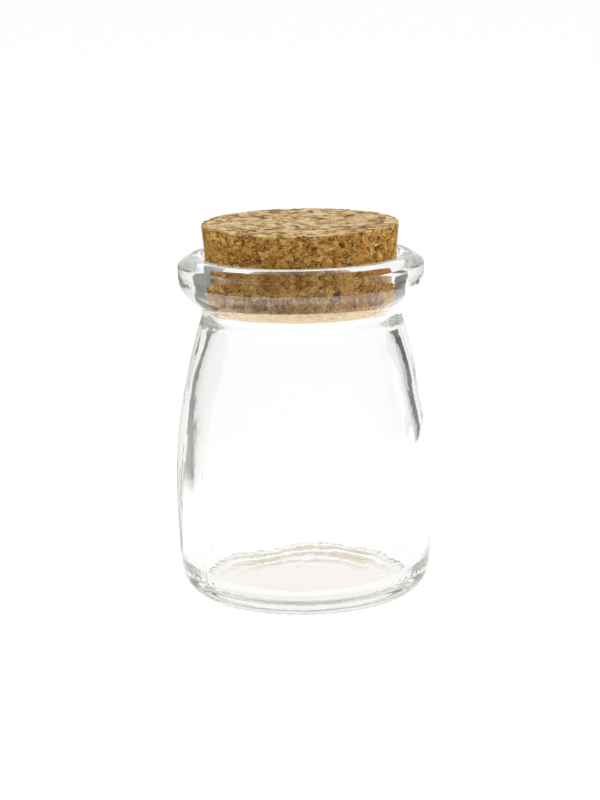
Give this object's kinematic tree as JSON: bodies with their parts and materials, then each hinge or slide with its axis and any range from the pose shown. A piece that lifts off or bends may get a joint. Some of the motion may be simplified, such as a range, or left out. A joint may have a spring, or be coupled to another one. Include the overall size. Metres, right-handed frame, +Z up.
{
  "type": "glass jar with cork lid",
  "caption": "Small clear glass jar with a rounded shoulder, a pinched neck and a heavy rolled lip, closed by a tapered agglomerated cork; holds dry goods, sweets or dessert.",
  "frame": {"origin": "centre of the base, on the surface that the jar stands on", "axes": "+Z up along the jar's axis of turning; the jar and the cork are round about it, so X and Y are any two level directions"},
  "size_m": [0.057, 0.057, 0.0822],
  "materials": {
    "clear_glass": "gloss",
    "cork": "matte"
  },
  "bodies": {
    "jar": {"glass_jar": "clear_glass"},
    "stopper": {"cork_stopper": "cork"}
  },
  "joints": [
    {"name": "cork_lift", "type": "slide", "parent": "jar", "child": "stopper", "axis": [0, 0, 1], "range_m": [0, 0.03]}
  ]
}
